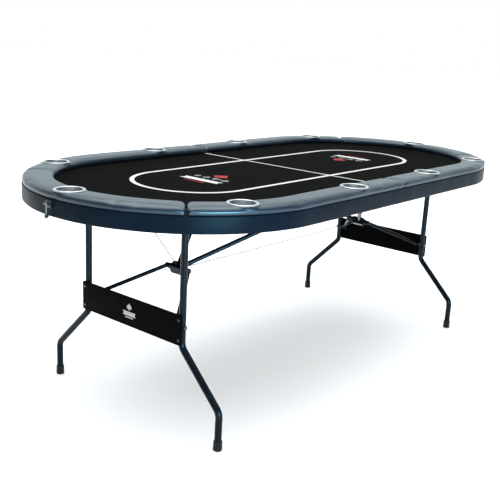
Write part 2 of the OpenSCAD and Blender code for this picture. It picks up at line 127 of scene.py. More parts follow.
class RailSettings(bpy.types.PropertyGroup):
    width: length_value("Rail width", "From the outline inwards", 0.1)
    roundness: number_value("Roundness", "Exponent of the pad's rounded section", 4.4)
    gap: length_value("Seam gap", "Between neighbouring pads", 0.0026)
    pinch: length_value("Pinch length", "How far the cover pulls in from a seam", 0.022)
    step: length_value("Mesh step", "Size of the cover's mesh squares", 0.006)
    pressure: number_value("Foam pressure", "Pressure of the foam under the cover", 3.0)
    swell: length_value("Swell limit", "How far the cover may move", 0.0022)
    colour: colour_value("Vinyl", "Colour of the rail's vinyl", (0.008, 0.014, 0.022))
    skirt_colour: colour_value("Skirt vinyl", "Colour of the skirt's vinyl", (0.0022, 0.0055, 0.010))


class FeltSettings(bpy.types.PropertyGroup):
    line_half_l: length_value("Line half length", "Middle of the betting line along the table", 0.703)
    line_half_w: length_value("Line half width", "Middle of the betting line across the table", 0.203)
    line_w: length_value("Line width", "Width of the betting line", 0.015)
    centre_line_w: length_value("Centre line width", "Width of the line at the fold", 0.009)
    emblem_x: length_value("Emblem distance", "Distance of the printed emblem from the fold", 0.425)
    colour: colour_value("Felt", "Colour of the felt", (0.0028, 0.0026, 0.0023))
    ink: colour_value("Print", "Colour of the white print", (0.62, 0.62, 0.61))
    red_ink: colour_value("Red print", "Colour of the red print", (0.30, 0.012, 0.014))


class HardwareSettings(bpy.types.PropertyGroup):
    corner_cup_angle: angle_value("Corner cup angle", "Direction of the corner cups from the long axis", 64.6)
    side_cup_x: length_value("Side cup distance", "Distance of the side cups from the fold", 0.246)
    well_r: length_value("Cup well radius", "Outer radius of a cup's well", 0.038)
    cup_depth: length_value("Cup depth", "Depth of a cup over its flange", 0.0615)
    cord_r: length_value("Cord radius", "Radius of the shock cords", 0.0015)
    enamel: colour_value("Enamel", "Colour of the leg tubes", (0.0018, 0.003, 0.005))
    panel: colour_value("Panel", "Colour of the leg panels", (0.0016, 0.0015, 0.0015))


class StudioSettings(bpy.types.PropertyGroup):
    lens: number_value("Focal length", "Camera focal length in millimetres", 55.8)
    yaw: angle_value("Camera yaw", "Direction of view from +X", 39.11)
    pitch: angle_value("Camera pitch", "Downward tilt", 15.09)
    roll: angle_value("Camera roll", "Roll of the frame", 3.08)
    floor_reach: length_value("Floor reach", "Half the floor's width", 40)
    place: FloatVectorProperty(
        name="Camera place", description="Position of the camera", subtype="TRANSLATION",
        default=(-2.3393, -1.75005, 1.1889),
    )


def settings():
    scene = bpy.context.scene
    return scene.ct_rail, scene.ct_felt, scene.ct_hardware, scene.ct_studio


# ---- Mesh helpers ----


def placed(name, data):
    """A new object in the scene, from mesh, light or camera data."""
    piece = bpy.data.objects.new(name, data)
    bpy.context.scene.collection.objects.link(piece)
    return piece


def mesh_piece(name, points, faces, sharp=SHARP):
    """A new object from points and faces, with outward normals and smooth shading up to the sharp angle."""
    mesh = bpy.data.meshes.new(name)
    mesh.from_pydata([tuple(p) for p in points], [], [tuple(f) for f in faces])
    piece = placed(name, mesh)
    tidy_mesh(piece, sharp)
    return piece


def tidy_mesh(piece, sharp):
    """Merges doubled points, turns the normals outwards and shades the mesh."""
    shape = bmesh.new()
    shape.from_mesh(piece.data)
    bmesh.ops.remove_doubles(shape, verts=shape.verts, dist=1e-6)
    bmesh.ops.recalc_face_normals(shape, faces=shape.faces)
    shape.to_mesh(piece.data)
    shape.free()
    piece.data.shade_smooth()
    piece.data.set_sharp_from_angle(angle=sharp)


def mirrored(piece, name, axis=0):
    """A copy of the piece mirrored in X (0) or Y (1)."""
    mesh = piece.data.copy()
    mesh.name = name
    flip = Matrix.Identity(4)
    flip[axis][axis] = -1
    mesh.transform(flip)
    mesh.flip_normals()
    return placed(name, mesh)


def halves(near):
    """The near piece and its mirrored far twin, each after the name of its half."""
    return (NEAR, near), (FAR, mirrored(near, near.name.replace(NEAR, FAR)))


def piece_of(name, shape):
    """A new object from a bmesh, which is freed."""
    mesh = bpy.data.meshes.new(name)
    shape.to_mesh(mesh)
    shape.free()
    return placed(name, mesh)


def band_faces(rows, count):
    """Faces between neighbouring rings of points."""
    faces = []
    for i in range(rows - 1):
        for k in range(count):
            n = (k + 1) % count
            faces.append((i * count + k, i * count + n, (i + 1) * count + n, (i + 1) * count + k))
    return faces


def out_from(origin, outward, radius):
    """The place in plan at a radius from the origin."""
    return origin[0] + outward[0] * radius, origin[1] + outward[1] * radius


def swept(name, rings, sharp=SHARP):
    """A closed skin through rings of points, each ring a loop of the same length."""
    count = len(rings[0])
    faces = band_faces(len(rings), count)
    faces += [range(count), range((len(rings) - 1) * count, len(rings) * count)]
    return mesh_piece(name, [p for ring in rings for p in ring], faces, sharp)


def lathed(name, profile, centre, steps=64, axis="Z", sharp=SHARP):
    """Turns (radius, height) points about an axis through the centre, from the axis back to the axis."""
    turns = [2 * math.pi * k / steps for k in range(steps)]
    points = [(r * math.cos(t), r * math.sin(t), height) for r, height in profile for t in turns]
    piece = mesh_piece(name, points, band_faces(len(profile), steps), sharp)
    if axis == "X":
        piece.data.transform(Matrix.Rotation(math.radians(90), 4, "Y"))
    piece.data.transform(Matrix.Translation(Vector(centre)))
    return piece


def slab(name, grid, thickness, sharp=SHARP):
    """A thin closed solid under a grid of top points, given as rows of equal length."""
    rows, columns = len(grid), len(grid[0])
    top = [Vector(p) for row in grid for p in row]
    under = [p - Vector((0, 0, thickness)) for p in top]
    low = len(top)
    faces = []
    for i in range(rows - 1):
        for j in range(columns - 1):
            a = i * columns + j
            faces.append((a, a + 1, a + columns + 1, a + columns))
            faces.append((low + a, low + a + columns, low + a + columns + 1, low + a + 1))
    rim = [(0, j) for j in range(columns)] + [(i, columns - 1) for i in range(1, rows)]
    rim += [(rows - 1, j) for j in range(columns - 2, -1, -1)] + [(i, 0) for i in range(rows - 2, 0, -1)]
    loop = [i * columns + j for i, j in rim]
    for a, b in zip(loop, loop[1:] + loop[:1]):
        faces.append((a, b, low + b, low + a))
    return mesh_piece(name, top + under, faces, sharp)


def ease(value):
    """Smooth step from 0 to 1."""
    value = min(max(value, 0.0), 1.0)
    return value * value * (3 - 2 * value)


# ---- Materials ----


class Finish:
    """A node material being made: a Principled shader, and textures in the piece's own coordinates."""

    def __init__(self, name, colour, roughness, metallic=0.0, **sockets):
        self.material = bpy.data.materials.new(name)
        self.material.use_nodes = True
        self.nodes = self.material.node_tree.nodes
        self.links = self.material.node_tree.links
        self.shader = self.nodes["Principled BSDF"]
        self.colour = colour
        self.shader.inputs["Base Color"].default_value = (*colour, 1)
        self.shader.inputs["Roughness"].default_value = roughness
        self.shader.inputs["Metallic"].default_value = metallic
        for socket, value in sockets.items():
            self.shader.inputs[socket.replace("_", " ")].default_value = value
        self.place = self.nodes.new("ShaderNodeTexCoord").outputs["Object"]
        self.height = None

    def stretched(self, scale):
        """The piece's coordinates, scaled along each axis."""
        mapping = self.nodes.new("ShaderNodeMapping")
        mapping.inputs["Scale"].default_value = scale
        self.links.new(self.place, mapping.inputs["Vector"])
        return mapping.outputs["Vector"]

    def noise(self, scale, detail, place=None):
        node = self.nodes.new("ShaderNodeTexNoise")
        node.inputs["Scale"].default_value = scale
        node.inputs["Detail"].default_value = detail
        self.links.new(place or self.place, node.inputs["Vector"])
        return node.outputs["Fac"]

    def cells(self, scale, feature="DISTANCE_TO_EDGE"):
        node = self.nodes.new("ShaderNodeTexVoronoi")
        node.feature = feature
        node.inputs["Scale"].default_value = scale
        self.links.new(self.place, node.inputs["Vector"])
        return node.outputs["Distance"]

    def vary_roughness(self, scale, detail, low, high):
        """Varies the roughness between low and high by noise."""
        node = self.nodes.new("ShaderNodeMapRange")
        node.inputs["To Min"].default_value = low
        node.inputs["To Max"].default_value = high
        self.links.new(self.noise(scale, detail), node.inputs["Value"])
        self.links.new(node.outputs["Result"], self.shader.inputs["Roughness"])

    def vary_colour(self, source, dark, light):
        """Colours the surface from dark to light by the pattern."""
        node = self.nodes.new("ShaderNodeValToRGB")
        node.color_ramp.elements[0].position = 0.3
        node.color_ramp.elements[1].position = 0.7
        node.color_ramp.elements[0].color = (*dark, 1)
        node.color_ramp.elements[1].color = (*light, 1)
        self.links.new(source, node.inputs["Fac"])
        self.links.new(node.outputs["Color"], self.shader.inputs["Base Color"])

    def mottle(self, scale, detail, low, high):
        """Varies the colour between two shades of itself by noise."""
        self.vary_colour(self.noise(scale, detail), shade(self.colour, low), shade(self.colour, high))

    def bump(self, source, distance, strength):
        """Adds relief of the given depth in metres, on top of any earlier relief."""
        node = self.nodes.new("ShaderNodeBump")
        node.inputs["Distance"].default_value = distance
        node.inputs["Strength"].default_value = strength
        self.links.new(source, node.inputs["Height"])
        if self.height is not None:
            self.links.new(self.height, node.inputs["Normal"])
        self.height = node.outputs["Normal"]
        self.links.new(self.height, self.shader.inputs["Normal"])

    def grain(self, scale, detail, distance, strength):
        """Adds relief by noise."""
        self.bump(self.noise(scale, detail), distance, strength)


def shade(colour, factor):
    return tuple(min(c * factor, 1.0) for c in colour)


def vinyl_finish(name, colour, roughness, coat, gloss):
    """Upholstery vinyl: fine leather grain, soft hand marks and a thin clear coat."""
    finish = Finish(
        name, colour, roughness, Specular_IOR_Level=gloss, Specular_Tint=(0.78, 0.92, 1.0, 1),
        Coat_Weight=coat, Coat_Roughness=0.22, Coat_Tint=(0.80, 0.93, 1.0, 1),
    )
    finish.mottle(9, 3, 0.8, 1.25)
    finish.vary_roughness(22, 5, roughness - 0.05, roughness + 0.09)
    finish.grain(14, 2, 0.0007, 0.2)
    finish.bump(finish.cells(760), 0.00022, 0.5)
    finish.grain(2600, 2, 0.00006, 0.5)
    return finish.material


def felt_finish(colour):
    """Speed cloth: a tight twill weave with a short nap and faint lint."""
    finish = Finish("felt_speed_cloth", colour, 0.95, Specular_IOR_Level=0.02)
    finish.mottle(6, 4, 0.85, 1.2)
    finish.vary_roughness(40, 3, 0.88, 0.98)
    weave = finish.nodes.new("ShaderNodeTexWave")
    weave.bands_direction = "DIAGONAL"
    weave.inputs["Scale"].default_value = 320
    weave.inputs["Distortion"].default_value = 0.6
    finish.links.new(finish.place, weave.inputs["Vector"])
    finish.bump(weave.outputs["Fac"], 0.00015, 0.4)
    finish.grain(900, 4, 0.0002, 0.5)
    return finish.material


def ink_finish(name, colour):
    """Screen-printed ink that lets the weave show through."""
    finish = Finish(name, colour, 0.7, Specular_IOR_Level=0.2)
    finish.mottle(260, 5, 0.88, 1.04)
    finish.vary_roughness(120, 3, 0.62, 0.8)
    finish.grain(900, 4, 0.00015, 0.4)
    return finish.material


def enamel_finish(colour):
    """Gloss powder coat on steel tube, with orange peel."""
    finish = Finish(
        "gloss_enamel", colour, 0.24, Specular_IOR_Level=0.13, Specular_Tint=(0.7, 0.88, 1.0, 1),
        Coat_Weight=0.03, Coat_Roughness=0.07,
    )
    finish.vary_roughness(30, 4, 0.2, 0.34)
    finish.mottle(18, 3, 0.8, 1.4)
    finish.grain(420, 2, 0.00012, 0.35)
    return finish.material


def stainless_finish(name, colour, roughness):
    """Spun stainless steel: fine turning marks round the cup and faint smudges."""
    finish = Finish(name, colour, roughness, metallic=1.0, Anisotropic=0.4)
    finish.vary_roughness(35, 4, roughness - 0.05, roughness + 0.1)
    finish.mottle(12, 2, 0.94, 1.04)
    finish.bump(finish.noise(1, 2, finish.stretched((40, 40, 3200))), 0.00005, 0.4)
    return finish.material


def board_finish():
    """Black-stained fibreboard: short pressed fibres and a dull surface."""
    finish = Finish("stained_fibreboard", (0.012, 0.010, 0.008), 0.75, Specular_IOR_Level=0.2)
    finish.vary_colour(finish.noise(160, 6), (0.007, 0.006, 0.005), (0.020, 0.016, 0.012))
    finish.vary_roughness(60, 4, 0.68, 0.86)
    finish.bump(finish.noise(520, 5, finish.stretched((1, 3, 1))), 0.0003, 0.5)
    return finish.material


def panel_finish(colour):
    """Matte moulded plastic with a fine spark-eroded texture and light scuffs."""
    finish = Finish("matte_panel", colour, 0.6, Specular_IOR_Level=0.025)
    finish.mottle(25, 5, 0.8, 1.5)
    finish.vary_roughness(45, 4, 0.52, 0.72)
    finish.grain(1400, 3, 0.0001, 0.5)
    return finish.material


def zinc_finish():
    """Blackened zinc plate on pressed brackets and bolts."""
    finish = Finish("black_zinc", (0.10, 0.105, 0.115), 0.38, metallic=0.9)
    finish.vary_colour(finish.noise(70, 5), (0.06, 0.063, 0.07), (0.17, 0.175, 0.19))
    finish.vary_roughness(90, 4, 0.3, 0.5)
    finish.grain(700, 3, 0.00008, 0.4)
    return finish.material


def rubber_finish():
    """Moulded rubber with a faint random tone."""
    finish = Finish("foot_rubber", (0.008, 0.009, 0.010), 0.55, Specular_IOR_Level=0.35)
    finish.vary_colour(finish.noise(55, 5), (0.006, 0.006, 0.007), (0.016, 0.016, 0.017))
    finish.vary_roughness(80, 4, 0.45, 0.7)
    finish.grain(1100, 3, 0.00012, 0.5)
    return finish.material


def cord_finish():
    """Braided shock cord: crossing strands over a rubber core."""
    finish = Finish("braided_cord", (0.05, 0.05, 0.055), 0.8, Sheen_Weight=0.1)
    finish.vary_colour(finish.cells(900, "F1"), (0.02, 0.02, 0.022), (0.09, 0.09, 0.095))
    finish.vary_roughness(300, 3, 0.7, 0.9)
    finish.bump(finish.cells(900, "F1"), 0.0004, 0.7)
    return finish.material


def knob_finish():
    """Gloss black moulded ball with faint moulding ripples."""
    finish = Finish("gloss_knob", (0.006, 0.007, 0.010), 0.16, Coat_Weight=0.5, Coat_Roughness=0.05)
    finish.vary_roughness(150, 3, 0.12, 0.24)
    finish.grain(240, 2, 0.0001, 0.4)
    return finish.material


def floor_finish():
    """Plain pale studio floor."""
    finish = Finish("studio_floor", (0.93, 0.935, 0.94), 0.75, Specular_IOR_Level=0.15)
    finish.vary_roughness(3, 3, 0.7, 0.82)
    finish.grain(60, 4, 0.0002, 0.2)
    return finish.material


FINISHES = {}


def finish_of(slot):
    """The material for one of the record's slots, made the first time it is asked for."""
    if slot not in FINISHES:
        rail, felt, hardware = settings()[:3]
        makers = {
            "rail_vinyl": lambda: vinyl_finish("rail_vinyl_grain", rail.colour, 0.34, 0.2, 0.5),
            "skirt_vinyl": lambda: vinyl_finish("skirt_vinyl_grain", rail.skirt_colour, 0.36, 0.0, 0.05),
            "felt": lambda: felt_finish(felt.colour),
            "board": board_finish,
            "steel": lambda: stainless_finish("spun_stainless", (0.60, 0.61, 0.62), 0.2),
            "enamel": lambda: enamel_finish(hardware.enamel),
            "panel_board": lambda: panel_finish(hardware.panel),
            "zinc": zinc_finish,
            "rubber": rubber_finish,
            "cord": cord_finish,
            "latch_steel": lambda: stainless_finish("bright_latch_steel", (0.22, 0.25, 0.28), 0.24),
            "knob": knob_finish,
            "white_ink": lambda: ink_finish("white_ink", felt.ink),
            "grey_ink": lambda: ink_finish("grey_ink", shade(felt.ink, 0.28)),
            "red_ink": lambda: ink_finish("red_ink", felt.red_ink),
            "floor": floor_finish,
        }
        FINISHES[slot] = makers[slot]()
    return FINISHES[slot]


def dress(piece, slot, body, ink=None):
    """Gives a new piece the material for its slot, or for its ink, and the body it rides on."""
    piece.data.materials.clear()
    piece.data.materials.append(finish_of(ink or slot))
    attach(piece, body)
    return piece


# ---- Padded rail ----


def cup_places():
    """Centres of the near half's cups: the end one, then the back corner and back side ones."""
    hardware = settings()[2]
    reach = HALF_W - CUP_INSET
    angle = hardware.corner_cup_angle
    end = (-ARC_X - reach, 0.0)
    corner = (-ARC_X - reach * math.cos(angle), reach * math.sin(angle))
    return [end, corner, (-hardware.side_cup_x, reach)]


def rail_stations(start, stop, gap, step, inner_r):
    """Steps along the rail between seams: origin, outward direction and distance from the nearer end.

    Start and stop are directions from the arc's centre. A stop of 90 degrees runs on along the
    straight side to the fold.
    """
    runs_on = stop <= math.radians(90)
    turn_gap = math.copysign(math.asin(gap / 2 / inner_r), stop - start)
    start += turn_gap
    sweep = stop - start - (0 if runs_on else turn_gap)
    middle = (HALF_W + inner_r) / 2
    arc = abs(sweep) * middle
    straight = ARC_X - gap / 2 if runs_on else 0.0
    length = arc + straight
    count = math.ceil(length / step)
    stations = []
    for i in range(count + 1):
        along = length * i / count
        if along <= arc + 1e-9:
            angle = start + sweep * along / arc
            origin, outward = (-ARC_X, 0.0), (math.cos(angle), math.sin(angle))
        else:
            origin, outward = (-ARC_X + along - arc, 0.0), (0.0, 1.0)
        stations.append((origin, outward, min(along, length - along)))
    return stations


def pad_section(roundness, steps_over, steps_under):
    """The pad's outline as (across, up) shares, up over the crown from the inner edge and back underneath."""
    tuck = 0.05
    fine = [math.pi * k / 400 for k in range(401)]
    curve = []
    for turn in fine:
        across = -math.copysign(abs(math.cos(turn)) ** (2 / roundness), math.cos(turn))
        up = math.sin(turn) ** (2 / roundness) if turn < math.pi else 0.0
        curve.append((across * (1 - tuck * (1 - up) ** 2.5), up))
    lengths = [0.0]
    for (a, b), (c, d) in zip(curve, curve[1:]):
        lengths.append(lengths[-1] + math.hypot((c - a) * 2, d - b))
    targets = np.linspace(0, lengths[-1], steps_over + 1)
    across, up = zip(*curve)
    over = list(zip(np.interp(targets, lengths, across), np.interp(targets, lengths, up)))
    edge = over[-1][0]
    return over + [(edge - 2 * edge * k / steps_under, 0.0) for k in range(1, steps_under)]


def pad_blank(name, stations, cups, rail):
    """The pad's cover before the foam pushes it out, pulled in at the seams and held down by the cups."""
    room, flange_h, clamp_w = 0.0008, 0.0022, 0.006
    drawn_outer, drawn_inner, sink = 0.05, 0.10, 0.42
    crown = PAD_TOP - 2 * room
    section = pad_section(rail.roundness, steps_over=30, steps_under=14)
    middle, half = HALF_W - rail.width / 2, rail.width / 2 - room
    clamp_z = TABLE_TOP - flange_h
    rings, held = [], []
    for origin, outward, end in stations:
        pull = 1 - math.sqrt(1 - (1 - min(end / rail.pinch, 1)) ** 2)
        ring = []
        for across, up in section:
            drawn_in = half * (1 - (drawn_outer if across > 0 else drawn_inner) * pull * min(up * 2, 1))
            z = PAD_BOTTOM + (crown - PAD_BOTTOM) * up * (1 - sink * pull)
            x, y = out_from(origin, outward, middle + across * drawn_in)
            clear = min(math.hypot(x - cx, y - cy) for cx, cy in cups) - FLANGE_R
            if up > 0.55:
                z += (clamp_z - z) * (1 - ease(clear / clamp_w))
            ring.append((x, y, z))
            held.append(up < 0.05 or (up > 0.5 and clear < 0.0) or end < 1e-6)
        rings.append(ring)
    return swept(name, rings, math.radians(60)), [p for ring in rings for p in ring], held


def press_out(piece, held_points, rail):
    """Cloth simulation of the vinyl over its foam, held at the staples, cups and seams."""
    before = np.array([v.co for v in piece.data.vertices])
    held_points = {tuple(np.round(p, 5)) for p in held_points}
    pins = [i for i, p in enumerate(before) if tuple(np.round(p, 5)) in held_points]
    piece.vertex_groups.new(name="held").add(pins, 1.0, "REPLACE")
    cloth = piece.modifiers.new("foam", "CLOTH")
    cloth.settings.quality = 6
    cloth.settings.mass = 0.25
    cloth.settings.tension_stiffness = 18
    cloth.settings.compression_stiffness = 18
    cloth.settings.shear_stiffness = 6
    cloth.settings.bending_stiffness = 5
    cloth.settings.shrink_min = -0.002
    cloth.settings.use_pressure = True
    cloth.settings.uniform_pressure_force = rail.pressure
    cloth.settings.vertex_group_mass = "held"
    cloth.settings.effector_weights.gravity = 0
    cloth.collision_settings.use_collision = False
    scene = bpy.context.scene
    for step in range(1, 21):
        scene.frame_set(step)
    evaluated = piece.evaluated_get(bpy.context.evaluated_depsgraph_get())
    moved = np.array([v.co for v in evaluated.data.vertices]) - before
    piece.modifiers.remove(cloth)
    piece.vertex_groups.clear()
    scene.frame_set(1)
    far = np.maximum(np.linalg.norm(moved, axis=1, keepdims=True), 1e-9)
    after = before + moved * (rail.swell * np.tanh(far / rail.swell) / far)
    piece.data.vertices.foreach_set("co", after.ravel())
    piece.data.update()


def refine(piece):
    """Subdivides the mesh for good."""
    smooth = piece.modifiers.new("smooth", "SUBSURF")
    smooth.levels = 1
    settle(piece)


def settle(piece):
    """Applies the piece's modifiers to its mesh."""
    evaluated = piece.evaluated_get(bpy.context.evaluated_depsgraph_get())
    mesh = bpy.data.meshes.new_from_object(evaluated)
    mesh.name = piece.data.name
    piece.modifiers.clear()
    piece.data = mesh


def bore(piece, cups, radius):
    """Cuts the cups' holes through a pad, under their flanges."""
    for x, y in cups:
        height = PAD_TOP - PAD_BOTTOM
        low, high = PAD_BOTTOM - height, PAD_TOP + height
        cutter = lathed("cutter", [(0, low), (radius, low), (radius, high), (0, high)], (x, y, 0), steps=72)
        cut = piece.modifiers.new("bore", "BOOLEAN")
        cut.object = cutter
        cut.solver = "EXACT"
        settle(piece)
        bpy.data.objects.remove(cutter)


def make_pad(name, start, stop, cups):
    rail, _, hardware, _ = settings()
    stations = rail_stations(start, stop, rail.gap, rail.step, HALF_W - rail.width)
    piece, points, held = pad_blank(name, stations, cups, rail)
    press_out(piece, [p for p, is_held in zip(points, held) if is_held], rail)
    refine(piece)
    clearance = 0.0004
    bore(piece, cups, hardware.well_r + clearance)
    tidy_mesh(piece, math.radians(55))
    return piece


class CARDTABLE_OT_pads(bpy.types.Operator):
    """Build the six padded rail sections, swollen by their foam and held down round the cups"""

    bl_idname = "card_table.pads"
    bl_label = "Rail Pads"

    def execute(self, context):
        end, corner, side = cup_places()
        seam = math.pi - SEAM
        near_end = make_pad("near_end_pad_cover", seam, math.pi + SEAM, [end])
        near_back = make_pad("near_back_pad_cover", seam, math.radians(90), [corner, side])
        near = {"end": near_end, "back": near_back, "front": mirrored(near_back, "near_front_pad_cover", 1)}
        for place, cover in near.items():
            for half, piece in halves(cover):
                dress(piece, "rail_vinyl", f"{half}_half")
                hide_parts(f"{half}_{place}_pad")
        return {"FINISHED"}


# ---- Skirt ----


class CARDTABLE_OT_skirt(bpy.types.Operator):
    """Wrap the vinyl skirt round the outline, with rolled edges and slight hand-stretched waves"""

    bl_idname = "card_table.skirt"
    bl_label = "Skirt"

    def execute(self, context):
        thickness, roll, inset = 0.0098, 0.0028, 0.0005
        section = []
        corners = ((1, -1, -90), (1, 1, 0), (-1, 1, 90), (-1, -1, 180))
        for across, up, first in corners:
            for k in range(6):
                turn = math.radians(first + 18 * k)
                section.append((
                    across * (thickness / 2 - roll) + roll * math.cos(turn),
                    up * ((SKIRT_TOP - SKIRT_BOTTOM) / 2 - roll) + roll * math.sin(turn),
                ))
        rings = []
        count = 220
        arc, straight = math.pi * HALF_W, ARC_X - EDGE
        length = arc + 2 * straight
        middle_z = (SKIRT_BOTTOM + SKIRT_TOP) / 2
        for i in range(count + 1):
            along = length * i / count
            wave = 0.00022 * math.sin(along * 31) + 0.00016 * math.sin(along * 57 + 1.3)
            if along < straight:
                origin, outward = (-EDGE - along, 0.0), (0.0, 1.0)
            elif along < straight + arc:
                turn = math.pi / 2 + (along - straight) / HALF_W
                origin, outward = (-ARC_X, 0.0), (math.cos(turn), math.sin(turn))
            else:
                origin, outward = (-ARC_X + along - straight - arc, 0.0), (0.0, -1.0)
            ring = []
            for across, up in section:
                radius = HALF_W - inset - thickness / 2 + across + (wave if across > 0 else 0)
                ring.append((*out_from(origin, outward, radius), middle_z + up))
            rings.append(ring)
        for half, piece in halves(swept("near_skirt_wrap", rings, math.radians(50))):
            dress(piece, "skirt_vinyl", f"{half}_half")
            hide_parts(f"{half}_skirt")
        return {"FINISHED"}


# ---- Cup holders ----


def cup_profile(hardware):
    """Radius and height of a pressed cup: rolled flange, lip, slightly tapered well and a beaded floor."""
    well, floor = hardware.well_r, TABLE_TOP - hardware.cup_depth
    wall, top = 0.0009, TABLE_TOP
    roll = [
        (FLANGE_R - 0.0022 + 0.0022 * math.sin(a), top - 0.0026 + 0.0024 * math.cos(a))
        for a in (math.radians(18 * k) for k in range(1, 7))
    ]
    lip = [
        (well - wall - 0.0002 + 0.0024 * (1 - math.sin(a)), top - 0.0002 - 0.0024 * (1 - math.cos(a)))
        for a in (math.radians(18 * k) for k in range(6))
    ]
    inside_r = well - wall - 0.0010
    corner = [
        (inside_r - 0.005 + 0.005 * math.cos(a), floor + wall + 0.005 - 0.005 * math.sin(a))
        for a in (math.radians(18 * k) for k in range(6))
    ]
    bead = [(0.024, floor + wall), (0.0225, floor + wall + 0.0009), (0.021, floor + wall)]
    under = [(inside_r, floor), (well, floor + 0.004)]
    under += [(well, top - 0.0045), (FLANGE_R - 0.0040, top - 0.0034)]
    centre = [(0.0, floor + wall)]
    return [(0.0, floor), *under, *roll[::-1], *lip, *corner, *bead, *centre]


class CARDTABLE_OT_cups(bpy.types.Operator):
    """Press the ten stainless cup holders, with rolled flanges and beaded floors"""

    bl_idname = "card_table.cups"
    bl_label = "Cup Holders"

    def execute(self, context):
        end, corner, side = cup_places()
        profile = cup_profile(settings()[2])
        places = {
            "end_cup": (end, "end_cup"),
            "back_corner_cup": (corner, "side_cups"),
            "back_side_cup": (side, "side_cups"),
            "front_corner_cup": ((corner[0], -corner[1]), "side_cups"),
            "front_side_cup": ((side[0], -side[1]), "side_cups"),
        }
        for name, ((x, y), node) in places.items():
            near = lathed(f"near_{name}_pressing", profile, (x, y, 0), steps=96, sharp=math.radians(30))
            for half, piece in halves(near):
                dress(piece, "steel", f"{half}_half")
                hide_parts(f"{half}_{node}")
        return {"FINISHED"}


# ---- Felt and print ----


def felt_grid():
    """Rows of points over the near half's felt. The cloth turns down over the board at the fold."""
    reach = (FELT_HIGH.y - FELT_LOW.y) / 2
    rows = [(-ARC_X - reach * math.sin(math.radians(a)), reach * math.cos(math.radians(a)), 0.0)
            for a in (88.5, 86, 82, 76, 70, 63, 56, 48, 40, 30, 20, 10)]
    rows += [(-ARC_X + (ARC_X - 0.004) * k / 10, reach, 0.0) for k in range(11)]
    rows += [(-FOLD_LIP, reach, 0.00025), (-EDGE - 0.0004, reach, 0.0009), (-EDGE, reach, 0.0018)]
    return [[(x, -y + 2 * y * k / 16, FELT_TOP - drop) for k in range(17)] for x, y, drop in rows]


def line_grid(felt):
    """Rows across the betting line of the near half, round from the fold to the fold."""
    reach, straight = felt.line_half_w, felt.line_half_l - felt.line_half_w
    z, rows = FELT_TOP + 0.0002, []
    for k in range(9):
        rows.append(((-FOLD_LIP - (straight - FOLD_LIP) * k / 8, 0.0), (0.0, 1.0)))
    for k in range(1, 48):
        turn = math.pi / 2 + math.pi * k / 48
        rows.append(((-straight, 0.0), (math.cos(turn), math.sin(turn))))
    for k in range(9):
        rows.append(((-straight + (straight - FOLD_LIP) * k / 8, 0.0), (0.0, -1.0)))
    widths = (-0.5, -0.46, 0.46, 0.5)
    drops = (0.00014, 0.0, 0.0, 0.00014)
    return [
        [(*out_from(origin, outward, reach + w * felt.line_w), z - drop) for w, drop in zip(widths, drops)]
        for origin, outward in rows
    ]


def heart_reach():
    """Direction and distance of points round a heart about its middle, point down."""
    turns = np.linspace(-math.pi, math.pi, 241)
    x = 16 * np.sin(turns) ** 3 / 17
    y = (13 * np.cos(turns) - 5 * np.cos(2 * turns) - 2 * np.cos(3 * turns) - np.cos(4 * turns)) / 17
    return np.arctan2(y, x), np.hypot(x, y)


def polar(reach, turns):
    return [(r * math.cos(t), r * math.sin(t)) for r, t in zip(reach, turns)]


def pip(kind):
    """Outline of a card suit, about two units tall: spade, heart, club or diamond."""
    turns = np.linspace(0, 2 * math.pi, 72, endpoint=False)
    if kind == "diamond":
        reach = 1 / ((np.abs(np.cos(turns)) / 0.78) ** 0.92 + np.abs(np.sin(turns)) ** 0.92) ** (1 / 0.92)
        return polar(reach, turns)
    if kind == "club":
        reach = np.zeros(len(turns))
        for cx, cy in ((0.0, 0.42), (-0.44, -0.16), (0.44, -0.16)):
            along = cx * np.cos(turns) + cy * np.sin(turns)
            inside = along ** 2 - (cx ** 2 + cy ** 2) + 0.40 ** 2
            reach = np.maximum(reach, np.where(inside > 0, along + np.sqrt(np.maximum(inside, 0)), 0))
        reach = np.maximum(reach, 0.30)
    else:
        angles, lengths = heart_reach()
        if kind == "spade":
            angles = -angles
        order = np.argsort(angles)
        reach = np.interp(turns, angles[order], lengths[order], period=2 * math.pi)
    if kind != "heart":
        off = np.abs(turns - 1.5 * math.pi)
        reach = np.where(off < math.radians(17), np.maximum(reach, 1.0 / np.cos(off)), reach)
    return polar(reach, turns)


def ribbon(width, height, notch):
    """Outline of a plain ribbon with notched ends."""
    w, h = width / 2, height / 2
    return [(-w, -h), (w, -h), (w - notch, 0), (w, h), (-w, h), (-w + notch, 0)]


def prints(name, outlines, origin, right, up):
    """Thin closed prints on a surface, outlined along the right and up directions from the origin."""
    origin, right, up = Vector(origin), Vector(right), Vector(up)
    out = right.cross(up).normalized()
    shape = bmesh.new()
    for outline in outlines:
        corners = [shape.verts.new(origin + right * a + up * b + out * PRINT_H) for a, b in outline]
        face = shape.faces.new(corners)
        made = bmesh.ops.extrude_face_region(shape, geom=[face])
        under = [v for v in made["geom"] if isinstance(v, bmesh.types.BMVert)]
        bmesh.ops.translate(shape, vec=-out * PRINT_H * 0.9, verts=under)
    bmesh.ops.triangulate(shape, faces=[f for f in shape.faces if len(f.verts) > 4])
    bmesh.ops.recalc_face_normals(shape, faces=shape.faces)
    return piece_of(name, shape)


def moved(outline, a, b, size=1.0):
    return [(a + x * size, b + y * size) for x, y in outline]


EMBLEM_ROW = ("diamond", "club", "heart", "spade")


